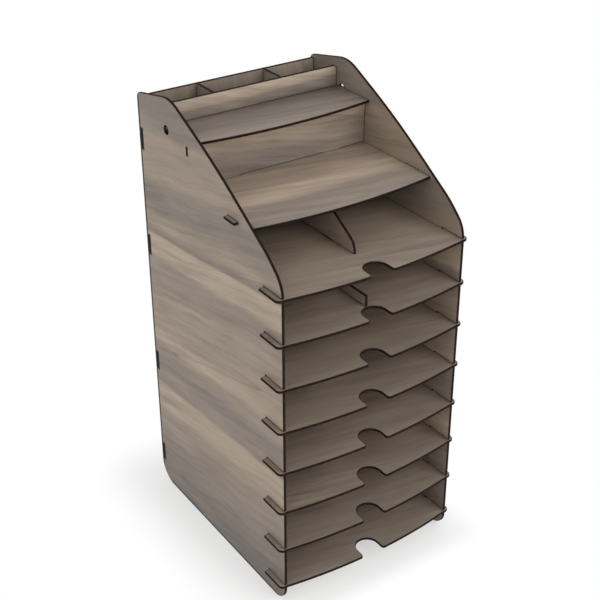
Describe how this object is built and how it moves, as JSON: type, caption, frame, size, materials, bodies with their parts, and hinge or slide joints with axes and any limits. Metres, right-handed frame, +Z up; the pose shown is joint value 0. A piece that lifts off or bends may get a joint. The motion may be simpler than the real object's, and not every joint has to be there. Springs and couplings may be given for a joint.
{
  "type": "desktop paper sorter",
  "caption": "Upright desk sorter of slotted boards: pull-out paper trays, divided bays, a display shelf, a lidded compartment and a pen box along the back.",
  "frame": {"origin": "on the floor, under the centre of the whole width and depth", "axes": "+Z up, +X to the right seen from the front, +Y from the open front to the back panel"},
  "size_m": [0.255, 0.3088, 0.5583],
  "materials": {
    "walnut_laminate": "matt grey-brown walnut print on thin fibreboard, with dark laser-cut edges"
  },
  "bodies": {
    "case": {"left_side_panel": "walnut_laminate", "right_side_panel": "walnut_laminate", "back_panel": "walnut_laminate", "divided_shelf": "walnut_laminate", "top_shelf": "walnut_laminate", "display_shelf": "walnut_laminate", "compartment_front": "walnut_laminate", "pen_box_front": "walnut_laminate", "left_pen_divider": "walnut_laminate", "right_pen_divider": "walnut_laminate", "lower_centre_divider": "walnut_laminate", "upper_centre_divider": "walnut_laminate"},
    "compartment_lid": {"compartment_lid": "walnut_laminate"},
    "tray_1": {"tray_1": "walnut_laminate"},
    "tray_2": {"tray_2": "walnut_laminate"},
    "tray_3": {"tray_3": "walnut_laminate"},
    "tray_4": {"tray_4": "walnut_laminate"},
    "tray_5": {"tray_5": "walnut_laminate"},
    "tray_6": {"tray_6": "walnut_laminate"}
  },
  "joints": [
    {"name": "lid_hinge", "type": "hinge", "parent": "case", "child": "compartment_lid", "pos_m": [0, 0.0875, 0.5205], "axis": [-1, 0, 0], "range_deg": [0, 100]},
    {"name": "tray_1_slide", "type": "slide", "parent": "case", "child": "tray_1", "axis": [0, -1, 0], "range_m": [0, 0.31]},
    {"name": "tray_2_slide", "type": "slide", "parent": "case", "child": "tray_2", "axis": [0, -1, 0], "range_m": [0, 0.31]},
    {"name": "tray_3_slide", "type": "slide", "parent": "case", "child": "tray_3", "axis": [0, -1, 0], "range_m": [0, 0.31]},
    {"name": "tray_4_slide", "type": "slide", "parent": "case", "child": "tray_4", "axis": [0, -1, 0], "range_m": [0, 0.31]},
    {"name": "tray_5_slide", "type": "slide", "parent": "case", "child": "tray_5", "axis": [0, -1, 0], "range_m": [0, 0.31]},
    {"name": "tray_6_slide", "type": "slide", "parent": "case", "child": "tray_6", "axis": [0, -1, 0], "range_m": [0, 0.31]}
  ]
}
